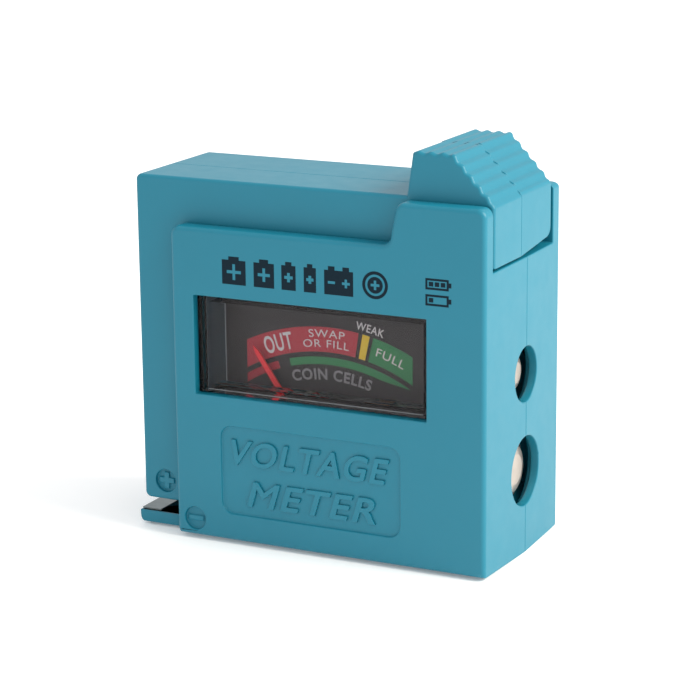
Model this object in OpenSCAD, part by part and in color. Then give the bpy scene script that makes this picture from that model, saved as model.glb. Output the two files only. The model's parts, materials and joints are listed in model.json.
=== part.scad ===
// Pocket battery tester: a two-shell housing with a moving-needle meter and a
// spring-returned slider. Cells stand on the lip at the lower left, under the
// slider; a nine-volt block presses on the two discs in the right side.
// Millimetres. +Z is up and -Y is the front. The origin is the middle of the base.

/* [Housing] */
// Width from the right side face to the tip of the contact lip
body_w = 51.05; // [50.5:0.05:51.4]
// Depth from the front plate to the back wall
body_d = 24.4; // [24.2:0.1:25]
// Height of the front plate at the raised right shoulder
plate_h = 46.85; // [46:0.05:48]
// Height of the front plate left of the shoulder
plate_low_h = 41.5; // [41:0.1:42]
// Width of the raised shoulder of the front plate
shoulder_w = 12.4; // [12:0.1:13]
// Distance of the plate's left edge from the right side face
plate_w = 43.8; // [43.6:0.1:44]
// Height of the back wall
back_h = 46.3; // [46:0.1:46.8]
// Depth of the front shell, from the plate face to the seam
seam_depth = 13; // [12.8:0.1:13.2]
// Thickness of the outer walls
wall = 2; // [1.8:0.1:2.1]
// Rise of the base per millimetre away from the seam
base_draft = 0.034; // [0:0.001:0.04]
// Inset of the right side of the rear shell per millimetre behind the seam
side_draft = 0.022; // [0:0.001:0.03]

/* [Slider] */
// How far the slider's front face lies behind the front plate
recess = 2.6; // [2.5:0.1:2.8]
// Height of the slider's top face
slider_h = 47.3; // [47.1:0.1:47.5]
// Height of the ribbed head
head_h = 52.9; // [52.5:0.1:53.2]
// Depth of the slider, front to back
slider_d = 18; // [17.9:0.05:18.3]
// Height of the underside of the leg above the base
foot_z = 3.8; // [3.6:0.1:4]
// Distance between neighbouring ribs of the head
rib_pitch = 1.6; // [1.4:0.1:1.8]
// Height of the ribs
rib_h = 0.25; // [0.15:0.05:0.5]
// Travel of the slider
travel = 20; // [15:1:20]
// Depth of the cell channel in the leg
channel_depth = 6.05; // [5.5:0.05:6.3]
// Width of the cell channel in the leg
channel_w = 15.4; // [14.8:0.1:15.4]

/* [Window and meter] */
// Width of the window
window_w = 32.7; // [32:0.1:33]
// Height of the window
window_h = 13; // [12.6:0.1:13.2]
// Height of the window's lower edge
window_z = 19.7; // [19.4:0.1:19.9]
// Distance of the needle's axis from the right side face
pivot_from_right = 23.8; // [23.6:0.1:24]
// Height of the needle's axis
pivot_z = 10.2; // [10:0.1:10.4]
// Length of the needle from its axis
needle_len = 18.8; // [18:0.1:19]
// Angle of the resting needle to the left of upright, in degrees
needle_rest = 35; // [33:1:36]

/* [Nine volt port] */
// Distance between the two stud holes
stud_spacing = 12.7; // [12.5:0.1:12.8]
// Diameter of the upper hole
small_hole_d = 7.2; // [7:0.1:7.4]
// Diameter of the lower hole
large_hole_d = 9.1; // [9:0.1:9.2]
// Height of the lower hole's centre
large_hole_z = 10.9; // [10.7:0.1:11]

/* [Hidden] */
$fn = 48;

shell_color = "#50a5bc";
contact_color = "#c8b9af";

right_x = 25.35;
lip_x = right_x - body_w;
leg_x = lip_x + 0.8;
plate_x = right_x - plate_w;
front_y = -body_d / 2;
back_y = body_d / 2;
seam_y = front_y + seam_depth;
slider_y = front_y + recess;
slider_back_y = slider_y + slider_d;
slide_gap = 0.3;
plate_back_y = slider_y - slide_gap;
plate_t = plate_back_y - front_y;
back_t = 2.4;
back_in_y = back_y - back_t;
inner_x = right_x - wall;

// The cavity that holds the meter, and its roof, on which the slider rests
cavity_x = plate_x + 2.6;
cavity_wall = 1.2;
roof_z = 38.7;
roof_t = 1.6;
lip_top_z = 1.95;
lip_floor_z = 0.9;
groove_x = leg_x + 1.9;
bar_z = roof_z + 0.35;
leg_right_x = cavity_x - cavity_wall - slide_gap;
skin = 1.5;
port_wall = 1.25;
button_depth = port_wall + 0.1;
slider_seam_y = seam_y - 1.95;
corner_r = 0.8;

window_x = right_x - 7.9 - window_w;
window_top_z = window_z + window_h;
pivot_x = right_x - pivot_from_right;
small_hole_z = large_hole_z + stud_spacing;

dial_y = front_y + 5.8;
dial_t = 0.4;
meter_back_y = 2;
yoke_r = 7.8;
yoke_in_r = 6.9;
core_r = 4.5;
core_front_y = -2.8;
core_back_y = 1.8;

tongue_half_w = 10.5;
tongue_y = 6.6;
tongue_t = 2;
tongue_foot_z = 5;
spring_foot_z = tongue_foot_z + 3;
spring_top_z = spring_foot_z + travel + 6;
spring_y = 7.1;
spring_r = 1.45;
wire_r = 0.2;

minus_x = right_x - 41.1;
minus_z = 2.8;
plus_x = right_x - 46.95;
plus_z = 6.4;
mark_r = 1.55;
mark_depth = 0.5;

case_screw_points = [[right_x - 4.4, 4.3], [right_x - 4.4, 33.4], [-12.8, 12]];
slider_screw_points = [[18.6, 43.6], [-14.4, 43.2]];

// A block between two opposite corners
module block(lo, hi) {
    translate(lo) cube(hi - lo);
}

// A round bar along +Y that starts at y
module bar_y(x, y, z, r, length) {
    translate([x, y, z]) rotate([-90, 0, 0]) cylinder(r = r, h = length);
}

// A round bar along +X that starts at x
module bar_x(x, y, z, r, length) {
    translate([x, y, z]) rotate([0, 90, 0]) cylinder(r = r, h = length);
}

// An outline of X and Z, thickened along Y between two planes
module slab(outline, y_front, y_back) {
    translate([0, y_back, 0]) rotate([90, 0, 0]) linear_extrude(y_back - y_front) polygon(outline);
}

// A quarter arc of n steps about c from angle a to angle b
function arc(c, r, a, b, n = 5) =
    [for (i = [0:n]) let (t = a + (b - a) * i / n) c + r * [cos(t), sin(t)]];

// Everything above the drafted base and inside the drafted right side
module drafted_space() {
    rise_front = base_draft * seam_depth;
    rise_back = base_draft * (body_d - seam_depth);
    inset = side_draft * (body_d - seam_depth);
    far = 60;
    intersection() {
        translate([-far, 0, 0]) rotate([90, 0, 90]) linear_extrude(2 * far)
            polygon([[front_y, rise_front], [seam_y, 0], [back_y, rise_back], [back_y, far], [front_y, far]]);
        linear_extrude(far)
            polygon([[-far, front_y], [right_x, front_y], [right_x, seam_y],
                [right_x - inset, back_y], [-far, back_y]]);
    }
}

// Outline of the front plate, with its low left part and its raised right shoulder
function plate_outline() =
    let (r = 1.2, step_x = right_x - shoulder_w, lean = 0.9)
    concat(
        [[right_x, 0]],
        arc([right_x - r, plate_h - r], r, 0, 90),
        arc([step_x + r + 0.3, plate_h - r], r, 90, 170),
        [[step_x - lean + 0.6, plate_low_h + r + 0.3]],
        arc([step_x - lean - r + 0.6, plate_low_h + r], r, 0, -90, 4),
        arc([plate_x + r, plate_low_h - r], r, 90, 180),
        arc([plate_x + r, r], r, 180, 270));

// The stud holes of the nine-volt port, centred on the seam, with the wall thinned around them
module port_holes() {
    for (hole = [[small_hole_z, small_hole_d / 2], [large_hole_z, large_hole_d / 2]]) {
        bar_x(inner_x - 1, seam_y, hole[0], hole[1], wall + 2);
        bar_x(inner_x - 0.01, seam_y, hole[0], hole[1] + 0.8, wall - port_wall + 0.01);
    }
}

// Outline of the lip at the lower left, with its lower edge rounded
function lip_outline() =
    let (r = 1.3)
    concat(
        arc([lip_x + r, r], r, 180, 270),
        [[plate_x + 0.01, 0], [plate_x + 0.01, lip_top_z], [lip_x, lip_top_z]]);

// Outline of the back wall, with its top corners rounded
function back_outline() =
    let (r = 1.2)
    concat(
        [[leg_x, 0], [right_x, 0]],
        arc([right_x - r, back_h - r], r, 0, 90),
        arc([leg_x + r, back_h - r], r, 90, 180));

// Walls shared by both shells between two depths
module shell_walls(y_from, y_to) {
    block([plate_x, y_from, 0], [right_x, y_to, wall]);
    block([inner_x, y_from, 0], [right_x, y_to, roof_z]);
    block([cavity_x - cavity_wall, y_from, roof_z - roof_t], [right_x, y_to, roof_z]);
    block([cavity_x - cavity_wall, y_from, 0], [cavity_x, y_to, roof_z]);
}

// Outline of the sunk name panel, a rectangle with round corners
function panel_outline() =
    let (x0 = right_x - 37.05, x1 = right_x - 11.55, z0 = 4.1, z1 = 15.9, r = 1.6)
    concat(
        arc([x0 + r, z0 + r], r, 180, 270), arc([x1 - r, z0 + r], r, 270, 360),
        arc([x1 - r, z1 - r], r, 0, 90), arc([x0 + r, z1 - r], r, 90, 180));

// A round pit for a polarity mark, in a face that looks to the front
module polarity_pit(x, y, z) {
    bar_y(x, y - 1, z, mark_r, 1 + mark_depth);
}

// The raised bar of a polarity mark, lying in its pit
module polarity_bar(x, y, z, upright) {
    half_l = mark_r * 0.72;
    half_w = 0.36;
    dx = upright ? half_w : half_l;
    dz = upright ? half_l : half_w;
    block([x - dx, y + 0.2, z - dz], [x + dx, y + mark_depth + 0.01, z + dz]);
}

module front_shell() {
    window_y = front_y - 1;
    color(shell_color) difference() {
        intersection() {
            union() {
                slab(plate_outline(), front_y, plate_back_y);
                shell_walls(plate_back_y - 0.01, seam_y);
                slab(lip_outline(), slider_y, seam_y);
                for (p = case_screw_points)
                    bar_y(p[0], plate_back_y - 0.01, p[1], 2.1, seam_y - plate_back_y);
            }
            drafted_space();
        }
        block([window_x, window_y, window_z], [window_x + window_w, plate_back_y + 0.1, window_top_z]);
        slab(panel_outline(), window_y, front_y + 0.35);
        polarity_pit(minus_x, front_y, minus_z);
        block([groove_x, slider_y + 0.4, lip_floor_z], [plate_x - 0.2, seam_y + 1, lip_top_z + 1]);
        port_holes();
        wiper_slot();
        tab_slot();
        for (p = case_screw_points) bar_y(p[0], plate_back_y + 1, p[1], 0.85, 20);
    }
    color(shell_color) polarity_bar(minus_x, front_y, minus_z, false);
}

// Opening in the left cavity wall through which the wiper presses on the slider
module wiper_slot() {
    block([cavity_x - cavity_wall - 1, -4.6, 27.6], [cavity_x + 0.6, -1.4, 36]);
}

// Opening in the foot of the left cavity wall for the tail of the lip contact
module tab_slot() {
    block([plate_x - 1, -3.2, lip_floor_z], [cavity_x + 0.6, -0.8, wall + 0.8]);
}

module rear_shell() {
    color(shell_color) difference() {
        intersection() {
            union() {
                slab(back_outline(), back_in_y, back_y);
                shell_walls(seam_y, back_in_y + 0.01);
                slab(lip_outline(), seam_y, back_y);
                for (p = case_screw_points) bar_y(p[0], seam_y, p[1], 2.1, back_in_y - seam_y + 0.01);
                // Ledge above the return spring
                block([-1.9, 5.2, spring_top_z], [1.9, back_in_y + 0.01, spring_top_z + 1.6]);
                // Rails beside the slider's tongue
                for (side = [-1, 1])
                    block([side * (tongue_half_w + 0.85) - 0.5, 6.3, wall - 0.01],
                        [side * (tongue_half_w + 0.85) + 0.5, back_in_y + 0.01, roof_z - 0.01]);
            }
            drafted_space();
        }
        // Slot in the roof for the tongue
        block([-tongue_half_w - 0.35, tongue_y - 0.4, roof_z - roof_t - 1],
            [tongue_half_w + 0.35, back_in_y, roof_z + 1]);
        block([groove_x, seam_y - 1, lip_floor_z], [plate_x - 0.2, slider_back_y - 0.4, lip_top_z + 1]);
        port_holes();
        for (p = case_screw_points) {
            bar_y(p[0], seam_y - 1, p[1], 1.15, 30);
            bar_y(p[0], back_y - 1.7, p[1], 2.1, 3);
        }
    }
}

// Clear moulded cover: a pane with side walls that reach back to the dial
module window_lens() {
    gap = 0.15;
    t = 0.9;
    rim = 0.6;
    pane_y = front_y + 0.9;
    x0 = window_x + gap;
    x1 = window_x + window_w - gap;
    z0 = window_z + gap;
    z1 = window_top_z - gap;
    color("white", 0.3) difference() {
        union() {
            block([x0, pane_y, z0], [x1, dial_y - 0.1, z1]);
            block([x0 - rim, plate_back_y, z0 - rim], [x1 + rim, plate_back_y + 0.8, z1 + rim]);
        }
        block([x0 + t, pane_y + t, z0 + t], [x1 - t, dial_y + 1, z1 - t]);
        // The lower wall stops short of the needle
        block([x0 + t, front_y + 4, z0 - 1], [x1 - t, dial_y + 1, z0 + t + 0.1]);
    }
}

module dial_plate() {
    color("#3c373a") block([window_x - 0.4, dial_y, window_z - 1.3],
        [window_x + window_w + 0.4, dial_y + dial_t, window_top_z + 1.7]);
}

// Moulded chassis that carries the dial and the magnet system
module meter_frame() {
    x0 = window_x + 0.9;
    x1 = window_x + window_w + 0.7;
    z1 = window_top_z + 2;
    post_w = 2.2;
    color("#2c2c30") difference() {
        union() {
            block([x0, meter_back_y, window_z - 1], [x1, meter_back_y + 1, z1]);
            block([pivot_x - 8.6, meter_back_y, wall + 0.2], [pivot_x + 8.6, meter_back_y + 1, z1]);
            block([x0, dial_y + dial_t, window_z - 1], [x0 + post_w, meter_back_y + 0.01, z1]);
            block([x1 - post_w, dial_y + dial_t, window_z - 1], [x1, meter_back_y + 0.01, z1]);
            block([x0, dial_y + dial_t, z1 - post_w], [x1, meter_back_y + 0.01, z1]);
        }
        // Way through for the rear bridge and the coil
        bar_y(pivot_x, meter_back_y - 1, pivot_z, yoke_in_r, 4);
        block([pivot_x - 8, meter_back_y - 1, pivot_z - 1.3], [pivot_x + 8, meter_back_y + 2, pivot_z + 1.3]);
    }
}

// Soft-iron ring with two webs that hold the core magnet
module meter_yoke() {
    y0 = core_front_y;
    y1 = meter_back_y;
    color("#8c8f93") {
        difference() {
            bar_y(pivot_x, y0, pivot_z, yoke_r, y1 - y0);
            bar_y(pivot_x, y0 - 1, pivot_z, yoke_in_r, y1 - y0 + 2);
        }
        for (side = [-1, 1])
            difference() {
                block([pivot_x - 0.7, y0, pivot_z + side * 5.7 - 1.6],
                    [pivot_x + 0.7, core_back_y, pivot_z + side * 5.7 + 1.6]);
                bar_y(pivot_x, y0 - 1, pivot_z, core_r, 8);
            }
    }
}

module meter_magnet() {
    color("#5a5d62") bar_y(pivot_x, core_front_y, pivot_z, core_r, core_back_y - core_front_y);
}

// A bridge is a flat bar on two legs, with a threaded eye on the needle's axis
module bridge(y_bar, y_leg, t, eye_y0, eye_len) {
    reach = yoke_in_r + 0.45;
    lo = min(y_bar, y_leg);
    hi = max(y_bar, y_leg);
    difference() {
        union() {
            block([pivot_x - reach - 0.35, y_bar - t / 2, pivot_z - 1.1],
                [pivot_x + reach + 0.35, y_bar + t / 2, pivot_z + 1.1]);
            for (side = [-1, 1])
                block([pivot_x + side * reach - 0.35, lo, pivot_z - 1.1],
                    [pivot_x + side * reach + 0.35, hi, pivot_z + 1.1]);
            bar_y(pivot_x, eye_y0, pivot_z, 1.7, eye_len);
        }
        bar_y(pivot_x, eye_y0 - 1, pivot_z, 0.8, eye_len + 2);
    }
}

module front_bridge() {
    color("#c9a94f") bridge(-6.3, core_front_y, 0.6, -6.6, 0.6);
}

module rear_bridge() {
    color("#c9a94f") bridge(4.3, meter_back_y, 0.6, 4, 0.6);
}

// Slotted bearing screw: a threaded shank, a head and a cup for the pivot point
module jewel_screw() {
    difference() {
        union() {
            cylinder(r = 0.8, h = 1.5);
            cylinder(r = 1.3, h = 0.5);
        }
        translate([-2, -0.15, -1]) cube([4, 0.3, 1.25]);
        translate([0, 0, 0.9]) cylinder(r = 0.35, h = 2);
    }
}

module jewel_screws() {
    color("#d9c27a") {
        translate([pivot_x, -7.1, pivot_z]) rotate([-90, 0, 0]) jewel_screw();
        translate([pivot_x, 5.1, pivot_z]) rotate([90, 0, 0]) jewel_screw();
    }
}

module circuit_board() {
    color("#2e6b3c") difference() {
        block([-14.2, 3.3, 19.2], [14.8, 4.3, 34.6]);
        for (x = [-12.6, 13.2], z = [20.8, 33])
            bar_y(x, 3, z, 0.6, 2);
    }
}

// One axial resistor with bent leads, its body centred at the origin along X
module resistor(length) {
    bar_x(-length / 2, 0, 0, 0.85, length);
    for (side = [-1, 1]) {
        bar_x(side > 0 ? length / 2 - 0.01 : -length / 2 - 1.2, 0, 0, 0.2, 1.21);
        bar_y(side * (length / 2 + 1), -0.95, 0, 0.2, 0.95);
    }
}

module load_resistors() {
    resistor_y = 5.25;
    color("#b98f5a") {
        translate([-8.6, resistor_y, 22.6]) resistor(4.6);
        translate([-8.6, resistor_y, 26.6]) resistor(4.6);
        translate([8.8, resistor_y, 24.6]) resistor(5.4);
    }
}

// Sprung disc behind a stud hole, with a domed button, on a leaf that runs inward
module stud_contact(z, r, button_r, lift) {
    face_x = inner_x - 0.1;
    leaf_x = face_x - 0.9;
    color(contact_color) {
        translate([leaf_x + 0.3, seam_y, z]) rotate([0, 90, 0]) {
            cylinder(r = r, h = 0.3);
            // The button that stands out into the hole, with a domed top
            rise = right_x - button_depth - leaf_x - 0.3;
            cylinder(r = button_r, h = rise - 0.5);
            translate([0, 0, rise - 0.51]) cylinder(r1 = button_r, r2 = button_r * 0.9, h = 0.26);
            translate([0, 0, rise - 0.26]) cylinder(r1 = button_r * 0.9, r2 = button_r * 0.6, h = 0.26);
        }
        block([leaf_x, seam_y - 1.2, z - r + 0.4], [leaf_x + 0.31, seam_y + 1.2, z + lift]);
        block([right_x - 7, seam_y - 1.2, z + lift - 0.3], [leaf_x + 0.31, seam_y + 1.2, z + lift]);
    }
}

module nine_volt_positive_contact() {
    stud_contact(small_hole_z, small_hole_d / 2 - 0.25, 2.3, 5);
}

module nine_volt_negative_contact() {
    stud_contact(large_hole_z, large_hole_d / 2 - 0.25, 3.25, 5.2);
}

// Strip on the lip that bends down into the groove and runs into the cavity
module negative_contact() {
    t = 0.25;
    rim_x = groove_x;
    y0 = slider_y + 0.5;
    y1 = slider_back_y - 0.7;
    color(contact_color) {
        block([lip_x + 0.15, y0, lip_top_z], [rim_x + t, y1, lip_top_z + t]);
        block([rim_x + 0.02, y0, lip_floor_z + 0.3], [rim_x + t, y1, lip_top_z + 0.01]);
        block([rim_x + 0.02, -3, lip_floor_z + 0.3], [cavity_x + 0.4, -1, lip_floor_z + 0.3 + t]);
        block([cavity_x + 0.2, -3, lip_floor_z + 0.3], [cavity_x + 0.4, -1, 4.6]);
    }
}

// Fixed leaf that rubs on the slider's contact strip through the cavity wall
module wiper_spring() {
    t = 0.2;
    foot_x = cavity_x + 0.05;
    tip_x = leg_right_x + 0.02;
    slant = [[foot_x, 28.4], [foot_x + t, 28.4], [tip_x + 0.3 + t, 32], [tip_x + 0.3, 32]];
    color(contact_color) {
        block([foot_x, -4, 20], [foot_x + t, -2, 28.41]);
        slab(slant, -4, -2);
        bar_y(tip_x + 0.42, -4, 32.2, 0.4, 2);
    }
}

// Leads drawn as straight eight-sided runs of insulated wire that meet at their corners
module lead(points, r) {
    for (i = [0 : len(points) - 2]) {
        run = points[i + 1] - points[i];
        along = norm(run);
        overrun = i > 0 ? 0.4 * r : 0;
        translate(points[i]) rotate([0, acos(run[2] / along), atan2(run[1], run[0])])
            translate([0, 0, -overrun]) cylinder(r = r, h = along + overrun, $fn = 8);
    }
}

module lead_wires() {
    r = 0.4;
    board_y = 3.8;
    red = "#b3202a";
    black = "#1d1d1f";
    color(red) lead([[cavity_x + 0.75, -3, 24], [cavity_x + 0.75, board_y, 24], [-14.3, board_y, 24]], r);
    color(black) lead([[cavity_x + 0.9, -2, 4.2], [-9, board_y, 4.6], [-9, board_y, 19.1]], r);
    color(red) lead([[18.9, 2.3, small_hole_z + 4.4], [18.9, board_y, small_hole_z + 4.4],
        [14.9, board_y, small_hole_z + 4.4]], r);
    color(black) lead([[18.9, 2.3, large_hole_z + 5], [18.9, board_y, large_hole_z + 5],
        [14, board_y, 18.9]], r);
}

// Pan-head screw from the origin along -Z, with a cross recess
module pan_screw(head_r, head_h, shank_r, length) {
    difference() {
        cylinder(r = head_r, h = head_h);
        for (a = [0, 90])
            rotate([0, 0, a]) translate([-head_r * 0.62, -0.22, head_h - 0.6]) cube([head_r * 1.24, 0.44, 1]);
    }
    translate([0, 0, -length]) cylinder(r = shank_r, h = length + 0.01);
}

module case_screws() {
    color("#a9abae")
        for (p = case_screw_points)
            translate([p[0], back_y - 1.7, p[1]]) rotate([-90, 0, 0]) pan_screw(1.9, 1.2, 0.85, 17.4);
}

// Ribbed path over the head: along the flat top, then down the slope
function head_points(phase) =
    let (
        flat_start = [right_x - 10.9, head_h - rib_h],
        crest = [right_x - 5.6, head_h - rib_h],
        toe = [right_x - 0.25, 46.9],
        flat_len = crest[0] - flat_start[0],
        slope_len = norm(toe - crest),
        total = flat_len + slope_len,
        steps_per_rib = 8,
        n = floor(total / rib_pitch * steps_per_rib))
    [for (i = [n:-1:0])
        let (
            s = i * rib_pitch / steps_per_rib,
            on_flat = s < flat_len,
            dir = (toe - crest) / slope_len,
            base = on_flat ? flat_start + [s, 0] : crest + dir * (s - flat_len),
            normal = on_flat ? [0, 1] : [-dir[1], dir[0]],
            rise = rib_h * (1 - cos(360 * (s / rib_pitch + phase))) / 2)
        base + normal * rise];

// Outline of the slider: leg, bar and ribbed head
function slider_outline(phase) = concat(
    arc([leg_x + corner_r, foot_z + corner_r], corner_r, 180, 270),
    [[leg_right_x, foot_z], [leg_right_x, bar_z], [right_x, bar_z], [right_x, 46.6]],
    head_points(phase),
    [[right_x - 11.7, slider_h]],
    arc([leg_x + corner_r, slider_h - corner_r], corner_r, 90, 180));

// Hollows of the slider between two depths: in the bar and in the block under the head
module slider_hollows(y_from, y_to) {
    block([leg_right_x, y_from, bar_z + skin], [right_x - 14, y_to, slider_h - skin]);
    block([right_x - 12.4, y_from, bar_z + 2.6], [right_x - skin, y_to, 46.6]);
}

// The channel up the leg in which a cell stands, open to the left and below
module cell_channel() {
    mid_y = (slider_y + slider_back_y) / 2;
    block([leg_x - 1, mid_y - channel_w / 2, foot_z - 1],
        [leg_x + channel_depth, mid_y + channel_w / 2, 43.5]);
}

module slider_front_half() {
    color(shell_color) difference() {
        slab(slider_outline(0), slider_y, slider_seam_y);
        slider_hollows(slider_y + skin, slider_seam_y + 1);
        cell_channel();
        polarity_pit(plus_x, slider_y, plus_z);
        // Groove for the contact strip down the inner face and through to the channel roof
        block([leg_right_x - 0.35, -4.6, foot_z - 1], [leg_right_x + 1, -1.4, 43.6]);
        block([leg_x + 0.4, -4.6, 43.1], [leg_right_x + 1, -1.4, 43.85]);
        for (p = slider_screw_points) bar_y(p[0], slider_seam_y - 6, p[1], 0.7, 10);
    }
    color(shell_color) for (upright = [false, true]) polarity_bar(plus_x, slider_y, plus_z, upright);
    color(shell_color)
        for (p = slider_screw_points) slider_boss(p, slider_y + skin - 0.01, slider_seam_y, 0.7);
}

// Screw boss inside the slider
module slider_boss(p, y_from, y_to, bore_r) {
    difference() {
        bar_y(p[0], y_from, p[1], 1.6, y_to - y_from);
        bar_y(p[0], y_to - 6, p[1], bore_r, 12);
    }
}

module slider_rear_half() {
    far = 20;
    color(shell_color) difference() {
        union() {
            difference() {
                slab(slider_outline(0.15), slider_seam_y, slider_back_y);
                slider_hollows(slider_seam_y - 1, slider_back_y - skin);
                cell_channel();
                // The underside of the right block rises towards the back
                translate([right_x - 12.6, 0, 0]) rotate([90, 0, 90]) linear_extrude(far)
                    polygon(concat(
                        [[slider_seam_y, bar_z - 1], [slider_seam_y, bar_z]],
                        arc([slider_back_y - 1.3, bar_z + 2.2], 1.3, 277, 360),
                        [[slider_back_y + 1, bar_z + 2.2], [slider_back_y + 1, bar_z - 1]]));
            }
            for (p = slider_screw_points) bar_y(p[0], slider_seam_y, p[1], 1.6, slider_back_y - slider_seam_y - 0.5);
            // Tongue that guides the slider behind the meter
            block([-tongue_half_w, tongue_y, tongue_foot_z], [tongue_half_w, tongue_y + tongue_t, bar_z + 0.5]);
            block([-3.4, 5.4, tongue_foot_z], [3.4, tongue_y + tongue_t, spring_foot_z]);
        }
        block([-2.3, tongue_y - 1, spring_foot_z], [2.3, tongue_y + 3, 37.6]);
        for (p = slider_screw_points) {
            bar_y(p[0], slider_seam_y - 1, p[1], 1, 20);
            bar_y(p[0], slider_back_y - 1.3, p[1], 1.6, 3);
        }
    }
}

// Strip from the channel roof down the leg to the underside of the foot
module positive_contact_strip() {
    t = 0.3;
    x1 = leg_right_x - 0.02;
    color(contact_color) {
        block([leg_x + 0.5, -4.5, 43.2], [x1, -1.5, 43.5]);
        block([x1 - t, -4.5, foot_z - t], [x1, -1.5, 43.5]);
        block([leg_x + channel_depth + 0.1, -4.5, foot_z - t], [x1, -1.5, foot_z]);
    }
}

module slider_screws() {
    color("#a9abae")
        for (p = slider_screw_points)
            translate([p[0], slider_back_y - 1.3, p[1]]) rotate([-90, 0, 0]) pan_screw(1.5, 0.9, 0.7, 10.5);
}

// Compression spring between the tongue's foot and the ledge, as a stack of rings
module return_spring() {
    length = spring_top_z - spring_foot_z;
    turns = 13;
    color("#b9bcc0") for (i = [0 : turns - 1])
        translate([0, spring_y, spring_foot_z + wire_r + (length - 2 * wire_r) * i / (turns - 1)])
            rotate_extrude($fn = 32) translate([spring_r, 0]) circle(r = wire_r, $fn = 16);
}

// Turns what is drawn upright on the needle's axis to the resting needle's angle
module at_rest() {
    translate([pivot_x, 0, pivot_z]) rotate([0, -needle_rest, 0]) children();
}

// Pointer: an eye on the arbor, a step forward over the dial's edge and a tapered blade
module needle() {
    blade = [[-0.45, 6.4], [0.45, 6.4], [0.3, needle_len - 1], [0, needle_len], [-0.3, needle_len - 1]];
    color("#d7282d") at_rest() difference() {
        union() {
            bar_y(0, -5.2, 0, 1.1, 0.5);
            block([-0.35, -5.2, -3.8], [0.35, -4.9, 7.2]);
            block([-0.3, -7.4, 6.4], [0.3, -4.9, 7.2]);
            slab(blade, -7.4, -7.15);
        }
        bar_y(0, -6, 0, 0.45, 2);
    }
}

// Two half-shafts with conical points, which leave the core free between them
module needle_arbor() {
    color("#b5b8bd") at_rest() {
        bar_y(0, -5.5, 0, 0.45, 1.3);
        translate([0, -5.49, 0]) rotate([90, 0, 0]) cylinder(r1 = 0.3, r2 = 0.12, h = 0.5);
        bar_y(0, 3.2, 0, 0.45, 0.3);
        translate([0, 3.49, 0]) rotate([-90, 0, 0]) cylinder(r1 = 0.3, r2 = 0.12, h = 0.5);
    }
}

// Rectangular winding round the core magnet
module meter_coil() {
    color("#b4683a") at_rest() difference() {
        block([-6.2, -4.2, -0.8], [6.2, 3.2, 0.8]);
        block([-5.1, -3.3, -2], [5.1, 2.3, 2]);
    }
}

// Flat spiral strip in front of the coil
module hairspring() {
    turns = 3;
    steps = 20;
    last = turns * steps;
    outer = [for (i = [0 : last]) let (a = 360 * i / steps) (0.7 + 1.9 * i / last) * [cos(a), sin(a)]];
    inner = [for (i = [last : -1 : 0]) let (a = 360 * i / steps) (0.58 + 1.9 * i / last) * [cos(a), sin(a)]];
    color("#d2b45c") at_rest() slab(concat(outer, inner), -4.65, -4.3);
}

module balance_weights() {
    color("#b5b8bd") at_rest() bar_y(0, -4.89, -3.3, 0.6, 0.45);
}

front_shell();
rear_shell();
window_lens();
dial_plate();
meter_frame();
meter_yoke();
meter_magnet();
front_bridge();
rear_bridge();
jewel_screws();
circuit_board();
load_resistors();
nine_volt_positive_contact();
nine_volt_negative_contact();
negative_contact();
wiper_spring();
lead_wires();
case_screws();
slider_front_half();
slider_rear_half();
positive_contact_strip();
slider_screws();
return_spring();
needle();
needle_arbor();
meter_coil();
hairspring();
balance_weights();
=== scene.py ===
import json
import math
import bmesh
import bpy
from mathutils import Matrix, Vector


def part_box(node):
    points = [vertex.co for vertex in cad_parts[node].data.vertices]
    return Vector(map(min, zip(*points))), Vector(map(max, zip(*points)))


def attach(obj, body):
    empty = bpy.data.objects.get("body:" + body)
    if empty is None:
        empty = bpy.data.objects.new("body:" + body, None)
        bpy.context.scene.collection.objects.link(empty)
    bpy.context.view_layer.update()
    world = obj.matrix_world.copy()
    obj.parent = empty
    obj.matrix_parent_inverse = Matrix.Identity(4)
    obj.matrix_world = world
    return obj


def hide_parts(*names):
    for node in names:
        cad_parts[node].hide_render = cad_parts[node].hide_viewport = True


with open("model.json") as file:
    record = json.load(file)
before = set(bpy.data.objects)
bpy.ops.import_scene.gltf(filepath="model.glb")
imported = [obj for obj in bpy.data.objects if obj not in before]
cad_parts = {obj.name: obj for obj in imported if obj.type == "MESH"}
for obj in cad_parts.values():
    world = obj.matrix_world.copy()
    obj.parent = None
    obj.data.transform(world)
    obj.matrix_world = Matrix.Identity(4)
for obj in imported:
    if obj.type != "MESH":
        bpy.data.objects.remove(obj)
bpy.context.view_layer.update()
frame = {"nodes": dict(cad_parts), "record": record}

MM = 0.001
record = frame["record"]
nodes = frame["nodes"]


# ---------------------------------------------------------------- places, from the frame
front_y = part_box("front_shell")[0].y
back_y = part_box("rear_shell")[1].y
dial_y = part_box("dial_plate")[0].y
slider_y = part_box("slider_front_half")[0].y
slider_back_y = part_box("slider_rear_half")[1].y


# ---------------------------------------------------------------- materials
def new_material(name):
    """A new material with its node tree and its shader."""
    material = bpy.data.materials.new(name)
    material.use_nodes = True
    tree = material.node_tree
    shader = tree.nodes["Principled BSDF"]
    return material, tree, shader


def noise(tree, scale, detail=3.0, roughness=0.5):
    """Noise in the piece's own space."""
    coords = tree.nodes.new("ShaderNodeTexCoord")
    texture = tree.nodes.new("ShaderNodeTexNoise")
    texture.inputs["Scale"].default_value = scale
    texture.inputs["Detail"].default_value = detail
    texture.inputs["Roughness"].default_value = roughness
    tree.links.new(coords.outputs["Object"], texture.inputs["Vector"])
    return texture.outputs["Fac"]


def ramp(tree, source, low, high):
    """Maps a value from 0..1 to low..high."""
    node = tree.nodes.new("ShaderNodeMapRange")
    node.inputs["To Min"].default_value = low
    node.inputs["To Max"].default_value = high
    tree.links.new(source, node.inputs["Value"])
    return node.outputs["Result"]


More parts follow.
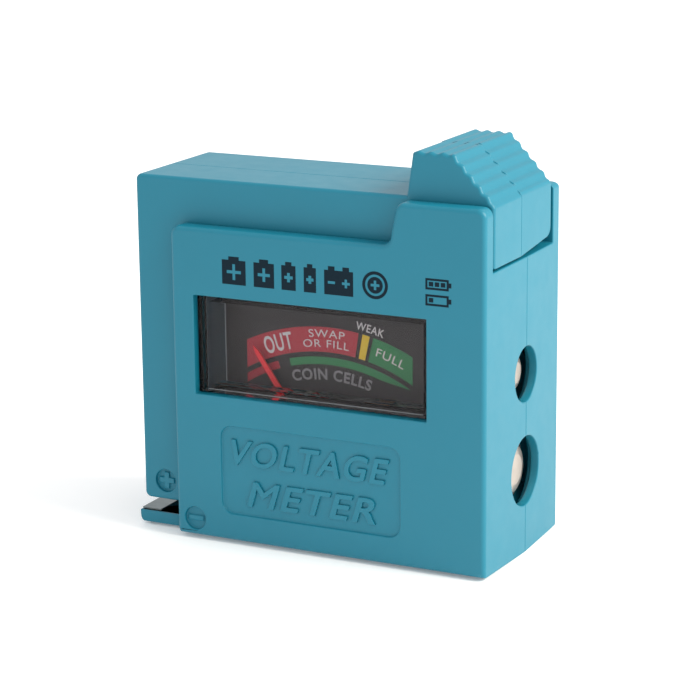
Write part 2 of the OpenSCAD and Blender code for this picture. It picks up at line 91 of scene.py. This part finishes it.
def bump(tree, shader, sources, distance):
    """Chains one bump node for each (height, strength) pair."""
    previous = None
    for height, strength in sources:
        node = tree.nodes.new("ShaderNodeBump")
        node.inputs["Strength"].default_value = strength
        node.inputs["Distance"].default_value = distance
        tree.links.new(height, node.inputs["Height"])
        if previous is not None:
            tree.links.new(previous, node.inputs["Normal"])
        previous = node.outputs["Normal"]
    tree.links.new(previous, shader.inputs["Normal"])


def mottled(tree, shader, colour, scale, amount):
    """Base colour that drifts a little lighter and darker over the surface."""
    mix = tree.nodes.new("ShaderNodeMix")
    mix.data_type = "RGBA"
    mix.inputs["A"].default_value = [c * (1 - amount) for c in colour] + [1]
    mix.inputs["B"].default_value = [min(1, c * (1 + amount)) for c in colour] + [1]
    tree.links.new(noise(tree, scale), mix.inputs["Factor"])
    tree.links.new(mix.outputs["Result"], shader.inputs["Base Color"])


def moulded_plastic(name, colour, roughness, grain=0.10, specular=0.5):
    """Injection-moulded plastic: a fine spark-eroded grain, faint flow marks and uneven gloss."""
    material, tree, shader = new_material(name)
    mottled(tree, shader, colour, 160, 0.035)
    gloss = ramp(tree, noise(tree, 420, 4), roughness - 0.05, roughness + 0.07)
    tree.links.new(gloss, shader.inputs["Roughness"])
    shader.inputs["Specular IOR Level"].default_value = specular
    bump(tree, shader, [(noise(tree, 5200, 2), grain), (noise(tree, 90, 2), 0.05)], 0.05 * MM)
    return material


def plated_metal(name, colour, roughness):
    """Metal with a fine grain and duller patches."""
    material, tree, shader = new_material(name)
    mottled(tree, shader, colour, 700, 0.12)
    shader.inputs["Metallic"].default_value = 1.0
    gloss = ramp(tree, noise(tree, 900, 5), roughness - 0.08, roughness + 0.12)
    tree.links.new(gloss, shader.inputs["Roughness"])
    bump(tree, shader, [(noise(tree, 3000, 3), 0.15)], 0.03 * MM)
    return material


def print_ink(name, colour, roughness=0.5, specular=0.3):
    """Screen-printed ink with slightly uneven coverage."""
    material, tree, shader = new_material(name)
    mottled(tree, shader, colour, 1500, 0.08)
    gloss = ramp(tree, noise(tree, 2500, 2), roughness - 0.06, roughness + 0.06)
    tree.links.new(gloss, shader.inputs["Roughness"])
    shader.inputs["Specular IOR Level"].default_value = specular
    bump(tree, shader, [(noise(tree, 6000, 2), 0.08)], 0.02 * MM)
    return material


def clear_plastic(name):
    """Clear cover with a faint haze. Its low refractive index keeps it from looking milky."""
    material, tree, shader = new_material(name)
    shader.inputs["Base Color"].default_value = (0.97, 0.98, 1.0, 1)
    shader.inputs["Transmission Weight"].default_value = 1.0
    shader.inputs["IOR"].default_value = 1.2
    gloss = ramp(tree, noise(tree, 700, 3), 0.0, 0.03)
    tree.links.new(gloss, shader.inputs["Roughness"])
    bump(tree, shader, [(noise(tree, 60, 1), 0.02)], 0.03 * MM)
    return material


TEAL = (0.004, 0.162, 0.240)
teal = moulded_plastic("teal_plastic", TEAL, 0.42, specular=0.4)
dial_black = print_ink("dial_black", (0.028, 0.022, 0.024), 0.55)
black_plastic = moulded_plastic("black_plastic", (0.02, 0.02, 0.022), 0.5)
nickel = plated_metal("nickel_plate", (0.52, 0.45, 0.40), 0.38)
steel = plated_metal("zinc_steel", (0.56, 0.57, 0.59), 0.35)
brass = plated_metal("brass", (0.78, 0.56, 0.25), 0.30)
copper = plated_metal("enamelled_copper", (0.62, 0.22, 0.10), 0.35)
magnet = plated_metal("sintered_magnet", (0.14, 0.14, 0.15), 0.5)
board = moulded_plastic("solder_mask", (0.015, 0.12, 0.04), 0.35)
resistor_tan = moulded_plastic("resistor_lacquer", (0.50, 0.32, 0.17), 0.4)
wire_red = moulded_plastic("wire_insulation", (0.40, 0.02, 0.03), 0.5)
needle_red = print_ink("needle_red", (0.72, 0.025, 0.035), 0.4)
ink_dark = print_ink("ink_dark", (0.0015, 0.012, 0.022), 0.5, specular=0.12)
ink_white = print_ink("ink_white", (0.50, 0.46, 0.46))
ink_grey = print_ink("ink_grey", (0.21, 0.195, 0.20))
ink_red = print_ink("ink_red", (0.36, 0.030, 0.045))
ink_green = print_ink("ink_green", (0.030, 0.175, 0.065))
ink_yellow = print_ink("ink_yellow", (0.60, 0.40, 0.03))
clear = clear_plastic("clear_cover")

# Material of each slot of the record
FINISH = {"shell": teal, "clear_window": clear, "dial_black": dial_black, "black_plastic": black_plastic,
          "steel": steel, "magnet": magnet, "brass": brass, "board": board, "resistor": resistor_tan,
          "nickel": nickel, "wire": wire_red, "copper": copper, "needle_red": needle_red}
# A dim grey-teal nickel, far darker than the plain nickel: painted shade on contacts that sit in shade
shade_painted_nickel = plated_metal("shade_painted_nickel", (0.20, 0.23, 0.24), 0.45)
# Nickel pieces painted a dim grey-teal instead of bright nickel: painted shade
SHADE_PAINTED_CONTACTS = ("negative_contact", "positive_contact_strip")
for entry in record["subparts"]:
    cad_node = nodes[entry["node"]]
    for cell in cad_node.material_slots:
        cell.material = shade_painted_nickel if entry["node"] in SHADE_PAINTED_CONTACTS else FINISH[entry["material_slot"]]


# ---------------------------------------------------------------- helpers for pieces
def add_piece(name, mesh, material, body):
    """An object made of the mesh, riding on a body."""
    piece = bpy.data.objects.new(name, mesh)
    bpy.context.scene.collection.objects.link(piece)
    mesh.materials.clear()
    mesh.materials.append(material)
    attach(piece, body)
    return piece


def is_long_arris(edge, planes):
    """True for an edge whose two ends both lie on one of the (axis, place) planes."""
    for axis, place in planes:
        if all(abs(v.co[axis] - place) < 0.02 * MM for v in edge.verts):
            return True
    return False


def within(edge, zone):
    """True for an edge inside the zone, ((x0, z0), (x1, z1)) in mm."""
    (x0, z0), (x1, z1) = zone
    return all(x0 * MM < v.co.x < x1 * MM and z0 * MM < v.co.z < z1 * MM for v in edge.verts)


# Zones with narrow rounding: window, name panel and mark of the plate, and the mark on the slider's foot
PLATE_DETAILS = ((-17.6, 1.0), (18.0, 34.0))
PLUS_MARK = ((-23.4, 4.6), (-19.8, 8.2))

# Edges that meet at a smaller angle than this are facets of a curve and stay unrounded
SHARP_ANGLE = math.radians(28)
# Faces that differ by less than this are one face
FLAT_ANGLE = math.radians(0.6)
BARE_RADIUS = 0.4 * MM
X, Z = 0, 2


def moulded(name, node, body, soft, crisp, planes, fine_zone=None, weld=0.002 * MM, cuts=(), bare=None):
    """A moulding with rounded edges: soft on the stated planes, crisp on every other edge.

    Edges in fine_zone are always crisp, and edges close to the point bare aren't rounded.
    """
    mesh = nodes[node].data.copy()
    mesh.name = name
    bm = bmesh.new()
    bm.from_mesh(mesh)
    bmesh.ops.remove_doubles(bm, verts=bm.verts, dist=weld)
    # Cuts through the openings leave faces without holes, which round off cleanly
    for axis, place in cuts:
        normal = [0, 0, 0]
        normal[axis] = 1
        point = [c * place for c in normal]
        cut = bmesh.ops.bisect_plane(bm, geom=bm.verts[:] + bm.edges[:] + bm.faces[:], dist=1e-7,
                                     plane_co=point, plane_no=normal)
        for part in cut["geom_cut"]:
            if isinstance(part, bmesh.types.BMEdge):
                part.seam = True
    bmesh.ops.dissolve_limit(bm, angle_limit=FLAT_ANGLE, verts=bm.verts, edges=bm.edges,
                             delimit={"SEAM"})
    weight = bm.edges.layers.float.new("bevel_weight_edge")
    for edge in bm.edges:
        if len(edge.link_faces) != 2 or edge.calc_face_angle(0) < SHARP_ANGLE:
            continue
        if bare and min((v.co - bare).length for v in edge.verts) < BARE_RADIUS:
            continue
        wide = is_long_arris(edge, planes) and not (fine_zone and within(edge, fine_zone))
        edge[weight] = 1.0 if wide else crisp / soft
    bm.to_mesh(mesh)
    bm.free()
    piece = add_piece(name, mesh, teal, body)
    rounding = piece.modifiers.new("rounded_edges", "BEVEL")
    rounding.limit_method = "WEIGHT"
    rounding.width = soft
    rounding.segments = 4
    rounding.use_clamp_overlap = False
    rounding.harden_normals = False
    rounding.miter_outer = "MITER_SHARP"
    for face in mesh.polygons:
        face.use_smooth = True
    tidy = piece.modifiers.new("flat_faces", "WEIGHTED_NORMAL")
    tidy.keep_sharp = True
    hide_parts(node)


# ---------------------------------------------------------------- housing and slider
# Rounding of the case and of the slider: soft rims and crisp details
CASE_SOFT, CASE_CRISP = 0.62 * MM, 0.16 * MM
SLIDER_SOFT, SLIDER_CRISP = 0.45 * MM, 0.13 * MM
# Joins the short edges where the drafted base cuts the corner arcs
CASE_WELD = 0.09 * MM
# A sliver at the foot of the plate, where rounding would throw a spike
SLIVER = Vector((-18.09, -9.91, 0.364)) * MM
PLATE_CUTS = ((X, 0.0), (Z, 26 * MM), (Z, 2.8 * MM))
BACK_CUTS = ((X, 20.95 * MM), (X, -12.8 * MM), (X, 4.0 * MM), (Z, 33.4 * MM), (Z, 12 * MM))

moulded("front_cover", "front_shell", "housing", CASE_SOFT, CASE_CRISP, [(1, front_y)],
        fine_zone=PLATE_DETAILS, weld=CASE_WELD, cuts=PLATE_CUTS, bare=SLIVER)
moulded("back_cover", "rear_shell", "housing", CASE_SOFT, CASE_CRISP, [(1, back_y)],
        weld=CASE_WELD, cuts=BACK_CUTS)
moulded("slider_front", "slider_front_half", "slider", SLIDER_SOFT, SLIDER_CRISP, [(1, slider_y)],
        fine_zone=PLUS_MARK)
moulded("slider_back", "slider_rear_half", "slider", SLIDER_SOFT, SLIDER_CRISP, [(1, slider_back_y)])


# ---------------------------------------------------------------- lettering and prints
def flat_mesh(curve):
    """The mesh of a filled curve or text, and the corners of its outline box."""
    source = bpy.data.objects.new("drawing", curve)
    bpy.context.scene.collection.objects.link(source)
    bpy.context.view_layer.update()
    depsgraph = bpy.context.evaluated_depsgraph_get()
    mesh = bpy.data.meshes.new_from_object(source.evaluated_get(depsgraph))
    bpy.data.objects.remove(source)
    bpy.data.curves.remove(curve)
    lo = Vector([min(v.co[i] for v in mesh.vertices) for i in range(2)])
    hi = Vector([max(v.co[i] for v in mesh.vertices) for i in range(2)])
    return mesh, lo, hi


def lay(mesh, name, place, face_y, thickness, material):
    """Moves a flat mesh to the front face: place gives (x, z) in mm for each (x, y)."""
    half = max(v.co.z for v in mesh.vertices)
    for vertex in mesh.vertices:
        x, z = place(vertex.co.x, vertex.co.y)
        depth = (1 - vertex.co.z / half) / 2 * thickness
        vertex.co = Vector((x * MM, face_y + depth * MM, z * MM))
    mesh.flip_normals()
    mesh.name = name
    return add_piece(name, mesh, material, "housing")


def lettering(name, text, spread, face_y, thickness, material, bold=0.0, rounding=0.0, slant=0.0):
    """Words fitted to a patch: spread gives (x, z) in mm for shares (0 to 1) of width and height."""
    curve = bpy.data.curves.new(name, "FONT")
    curve.body = text
    curve.size = 1
    curve.offset = bold
    curve.extrude = 0.05
    curve.bevel_depth = rounding
    curve.bevel_resolution = 2
    curve.shear = slant
    curve.space_character = 1.12
    mesh, lo, hi = flat_mesh(curve)
    return lay(mesh, name, lambda x, y: spread((x - lo.x) / (hi.x - lo.x), (y - lo.y) / (hi.y - lo.y)),
               face_y, thickness, material)


def straight(x0, x1, z0, z1):
    """A spread over an upright rectangle."""
    return lambda s, t: (x0 + (x1 - x0) * s, z0 + (z1 - z0) * t)


# Centre of the dial's arcs, and the layers of ink on it
DIAL_CENTRE = (1.3, 2.0)
PRINT_T = 0.012
PRINT_GAP = 0.02 * MM
LETTER_GAP = 0.035 * MM


def on_arc(radius, degrees):
    """The point (x, z) on an arc of the dial, at an angle clockwise from upright."""
    angle = math.radians(degrees)
    return DIAL_CENTRE[0] + radius * math.sin(angle), DIAL_CENTRE[1] + radius * math.cos(angle)


def curved(a0, a1, r0, r1):
    """A spread over a stretch of a ring of the dial."""
    return lambda s, t: on_arc(r0 + (r1 - r0) * t, a0 + (a1 - a0) * s)


def print_shape(name, loops, face_y, thickness, material):
    """A printed patch from closed outlines in mm; an outline inside another one is a hole."""
    curve = bpy.data.curves.new(name, "CURVE")
    curve.dimensions = "2D"
    curve.fill_mode = "BOTH"
    curve.extrude = 0.01
    for loop in loops:
        spline = curve.splines.new("POLY")
        spline.points.add(len(loop) - 1)
        for point, (x, z) in zip(spline.points, loop):
            point.co = (x, z, 0, 1)
        spline.use_cyclic_u = True
    mesh, lo, hi = flat_mesh(curve)
    return lay(mesh, name, lambda x, y: (x, y), face_y, thickness, material)


def upright_end(x):
    """A band's end that is an upright line: gives its angle at each radius."""
    return lambda radius: math.degrees(math.asin((x - DIAL_CENTRE[0]) / radius))


def radial_end(degrees):
    """A band's end that is a radius."""
    return lambda radius: degrees


def band(name, r_in, r_out, left, right, material, taper_from=None):
    """A stretch of a printed ring; its inner edge may rise to a point at the right."""
    steps = 40
    outer = [on_arc(r_out, left(r_out) + (right(r_out) - left(r_out)) * i / steps)
             for i in range(steps + 1)]
    inner = []
    for i in range(steps, -1, -1):
        angle = left(r_in) + (right(r_in) - left(r_in)) * i / steps
        radius = r_in
        if taper_from is not None and angle > taper_from:
            share = (angle - taper_from) / (right(r_in) - taper_from)
            radius = r_in + (r_out - r_in) * 0.97 * share ** 1.6
        inner.append(on_arc(radius, angle))
    return print_shape(name, [outer + inner], dial_y - PRINT_GAP, PRINT_T, material)


# Radii of the broad and the thin bands, and where they end left and right
R_IN, R_OUT = 23.6, 26.85
THIN_IN, THIN_OUT = 21.95, 22.93
LEFT_END, RIGHT_END = -10.6, 13.0
band("dial_band_red", R_IN, R_OUT, upright_end(LEFT_END), radial_end(9.0), ink_red)
band("dial_band_yellow", R_IN, R_OUT, radial_end(10.2), radial_end(12.4), ink_yellow)
band("dial_band_green", R_IN, R_OUT, radial_end(13.5), upright_end(RIGHT_END), ink_green)
band("dial_thin_red", THIN_IN, THIN_OUT, upright_end(LEFT_END), radial_end(-18.8), ink_red)
band("dial_thin_green", THIN_IN, THIN_OUT, radial_end(-14.5), radial_end(29.7), ink_green, taper_from=18)

# Plain words for the state of the cell under test
for name, text, patch, ink, bold in (
        ("dial_word_out", "OUT", curved(-21.6, -12.2, 24.1, 26.4), ink_white, 0.018),
        ("dial_word_swap", "SWAP", curved(-6.4, 4.9, 25.5, 26.5), ink_white, 0.0),
        ("dial_word_cells", "OR FILL", curved(-8.6, 6.6, 24.2, 25.2), ink_white, 0.0),
        ("dial_word_weak", "WEAK", curved(8.0, 16.2, 27.3, 28.35), ink_white, 0.012),
        ("dial_word_full", "FULL", curved(15.4, 24.8, 24.7, 25.8), ink_white, 0.004),
        ("dial_words_coin", "COIN CELLS", curved(-15.0, 16.8, 19.9, 21.4), ink_grey, 0.03)):
    lettering(name, text, patch, dial_y - LETTER_GAP, PRINT_T, ink, bold=bold)

# Raised words in the sunk panel
WORD_T = 0.31
WORD_GAP = 0.06 * MM
for name, text, patch in (("panel_word_upper", "VOLTAGE", straight(-10.2, 12.3, 10.75, 14.2)),
                          ("panel_word_lower", "METER", straight(-8.1, 10.3, 5.4, 8.8))):
    lettering(name, text, patch, front_y + WORD_GAP, WORD_T, teal, rounding=0.02, slant=0.25)


def circle(x, z, radius, steps=32):
    angles = [math.tau * i / steps for i in range(steps)]
    return [(x + radius * math.cos(a), z + radius * math.sin(a)) for a in angles]


def plus(x, z, arm, half):
    return [(x - arm, z - half), (x - half, z - half), (x - half, z - arm),
            (x + half, z - arm), (x + half, z - half), (x + arm, z - half),
            (x + arm, z + half), (x + half, z + half), (x + half, z + arm),
            (x - half, z + arm), (x - half, z + half), (x - arm, z + half)]


def bar(x0, x1, z0, z1):
    return [(x0, z0), (x1, z0), (x1, z1), (x0, z1)]


def upright_cell(x, z0, width, height):
    """A cell standing on its foot: body, shoulder and cap, with a plus left blank."""
    w, cap, shoulder = width / 2, width * 0.22, 0.45
    body = [(x - w, z0), (x + w, z0), (x + w, z0 + height - shoulder),
            (x + cap, z0 + height - shoulder), (x + cap, z0 + height), (x - cap, z0 + height),
            (x - cap, z0 + height - shoulder), (x - w, z0 + height - shoulder)]
    return [body, plus(x, z0 + height * 0.45, width * 0.3, 0.2)]


def block_cell(x, z0, width, height):
    """A nine-volt block with two studs, with a plus and a minus left blank."""
    w, stud, shoulder = width / 2, 0.45, 0.5
    top = z0 + height - shoulder
    body = [(x - w, z0), (x + w, z0), (x + w, top),
            (x + w * 0.5 + stud, top), (x + w * 0.5 + stud, top + shoulder),
            (x + w * 0.5 - stud, top + shoulder), (x + w * 0.5 - stud, top),
            (x - w * 0.5 + stud, top), (x - w * 0.5 + stud, top + shoulder),
            (x - w * 0.5 - stud, top + shoulder), (x - w * 0.5 - stud, top), (x - w, top)]
    mid = z0 + (height - shoulder) / 2
    minus = bar(x - w * 0.5 - 0.5, x - w * 0.5 + 0.5, mid - 0.17, mid + 0.17)
    return [body, plus(x + w * 0.5, mid, 0.55, 0.17), minus]


def level_cell(x0, z0, level):
    """A lying cell drawn as a frame, with bars for its charge."""
    width, height, line = 3.1, 1.4, 0.27
    outline = [(x0, z0), (x0 + width, z0), (x0 + width, z0 + 0.4), (x0 + width + 0.35, z0 + 0.4),
               (x0 + width + 0.35, z0 + height - 0.4), (x0 + width, z0 + height - 0.4),
               (x0 + width, z0 + height), (x0, z0 + height)]
    loops = [outline, bar(x0 + line, x0 + width - line, z0 + line, z0 + height - line)]
    for i in range(level):
        left = x0 + line + 0.18 + i * 0.8
        loops.append(bar(left, left + 0.6, z0 + line + 0.15, z0 + height - line - 0.15))
    return loops


# Pictograms of the cells the instrument takes, in dark ink on the plate
INK_T = 0.015
INK_GAP = 0.012 * MM
Z_INK = 34.6
CELL_H = 3.6
COIN_X, COIN_Z = 10.6, Z_INK + 1.75
pictograms = []
for x, width in ((-9.2, 3.4), (-4.9, 2.9), (-1.4, 2.0), (1.6, 1.7)):
    pictograms += upright_cell(x, Z_INK, width, CELL_H)
pictograms += block_cell(5.6, Z_INK, 4.0, CELL_H)
pictograms += [circle(COIN_X, COIN_Z, radius) for radius in (1.75, 1.35, 1.05)]
pictograms.append(plus(COIN_X, COIN_Z, 0.6, 0.17))
levels = level_cell(17.4, 36.5, 3) + level_cell(17.4, 34.5, 1)
print_shape("cell_pictograms", pictograms, front_y - INK_GAP, INK_T, ink_dark)
print_shape("level_pictograms", levels, front_y - INK_GAP, INK_T, ink_dark)


def sheet(name, corners, thickness, material):
    """A thin sheet between four corners in mm, with rounded edges."""
    mesh = bpy.data.meshes.new(name)
    bm = bmesh.new()
    bm.faces.new([bm.verts.new(Vector(c) * MM) for c in corners])
    bmesh.ops.subdivide_edges(bm, edges=bm.edges[:], cuts=3, use_grid_fill=True)
    bm.to_mesh(mesh)
    bm.free()
    piece = add_piece(name, mesh, material, "housing")
    solid = piece.modifiers.new("thickness", "SOLIDIFY")
    solid.thickness = thickness * MM
    rounding = piece.modifiers.new("rounded_edges", "BEVEL")
    rounding.width = thickness * 0.3 * MM
    rounding.segments = 2
    return piece


# Opaque sheets on the clear cover: a grey-blue painted reflection along the length of its left wall, and
# bright painted highlight lines where the wall ends and along the cover's lower edge
# Grey-blue opaque sheet in place of the clear wall: painted reflection
painted_wall_reflection = moulded_plastic("wall_painted_reflection", (0.045, 0.066, 0.082), 0.3)
# Light grey thin lines on the cover's edges: painted highlights
painted_highlight_line = moulded_plastic("painted_edge_highlight", (0.30, 0.32, 0.34), 0.25)
WALL_X, PANE_Y, DIAL_FRONT = -13.8, -11.2, -6.5
COVER_Z = (20.0, 32.4)
sheet("cover_wall_painted_reflection", [(WALL_X, PANE_Y, COVER_Z[0]), (WALL_X, DIAL_FRONT, COVER_Z[0]),
                          (WALL_X, DIAL_FRONT, COVER_Z[1]), (WALL_X, PANE_Y, COVER_Z[1])], 0.06, painted_wall_reflection)
sheet("cover_wall_end_highlight", [(WALL_X + 0.02, DIAL_FRONT, COVER_Z[0]), (WALL_X + 0.16, DIAL_FRONT, COVER_Z[0]),
                         (WALL_X + 0.16, DIAL_FRONT, COVER_Z[1]), (WALL_X + 0.02, DIAL_FRONT, COVER_Z[1])],
      0.05, painted_highlight_line)
# Bright line along the lower edge of the cover: painted highlight
sheet("cover_lower_edge_highlight", [(WALL_X, PANE_Y, 20.24), (16.6, PANE_Y, 20.24), (16.6, PANE_Y, 20.33),
                           (WALL_X, PANE_Y, 20.33)], 0.05, painted_highlight_line)


# ---------------------------------------------------------------- floor, light and camera
def make_floor():
    """A white floor, lit a little from within so that it stays white."""
    bpy.ops.mesh.primitive_plane_add(size=2.0)
    floor = bpy.context.object
    floor.name = "floor"
    material, tree, shader = new_material("floor_white")
    shader.inputs["Base Color"].default_value = (0.93, 0.93, 0.93, 1)
    shader.inputs["Roughness"].default_value = 0.6
    shader.inputs["Emission Color"].default_value = (1, 1, 1, 1)
    shader.inputs["Emission Strength"].default_value = 0.16
    floor.data.materials.append(material)


def area_light(name, place, target, size, power, colour):
    """A square light that faces the target."""
    light = bpy.data.lights.new(name, "AREA")
    light.size = size
    light.energy = power
    light.color = colour
    lamp = bpy.data.objects.new(name, light)
    lamp.location = place
    lamp.rotation_euler = (Vector(target) - Vector(place)).to_track_quat("-Z", "Y").to_euler()
    bpy.context.scene.collection.objects.link(lamp)


def make_world(strength):
    """Even white light from all sides."""
    world = bpy.data.worlds.new("studio")
    world.use_nodes = True
    world.node_tree.nodes["Background"].inputs["Color"].default_value = (1, 1, 1, 1)
    world.node_tree.nodes["Background"].inputs["Strength"].default_value = strength
    bpy.context.scene.world = world


def make_camera():
    """A long lens from the right, looking slightly down. offset is its place along its own axes."""
    azimuth, elevation, roll = (math.radians(a) for a in (26.687, 14.230, -0.563))
    offset = (0.616 * MM, 23.500 * MM, 329.466 * MM)
    camera = bpy.data.cameras.new("camera")
    camera.sensor_width = 36
    camera.lens = 128.17
    holder = bpy.data.objects.new("camera", camera)
    back = Vector((math.sin(azimuth) * math.cos(elevation), -math.cos(azimuth) * math.cos(elevation),
                   math.sin(elevation)))
    right = Vector((math.cos(azimuth), math.sin(azimuth), 0))
    up = back.cross(right)
    c, s = math.cos(roll), math.sin(roll)
    right, up = c * right + s * up, c * up - s * right
    turn = Matrix((right, up, back)).transposed()
    holder.location = turn @ Vector(offset)
    holder.rotation_euler = turn.to_euler()
    camera.clip_start = 0.01
    bpy.context.scene.collection.objects.link(holder)
    bpy.context.scene.camera = holder


make_floor()
make_world(1.0)
area_light("key", (0.45, 0.04, 0.36), (0, 0, 0.02), 0.3, 4.3, (1.0, 0.97, 0.87))
make_camera()
bpy.context.scene.view_settings.view_transform = "Standard"
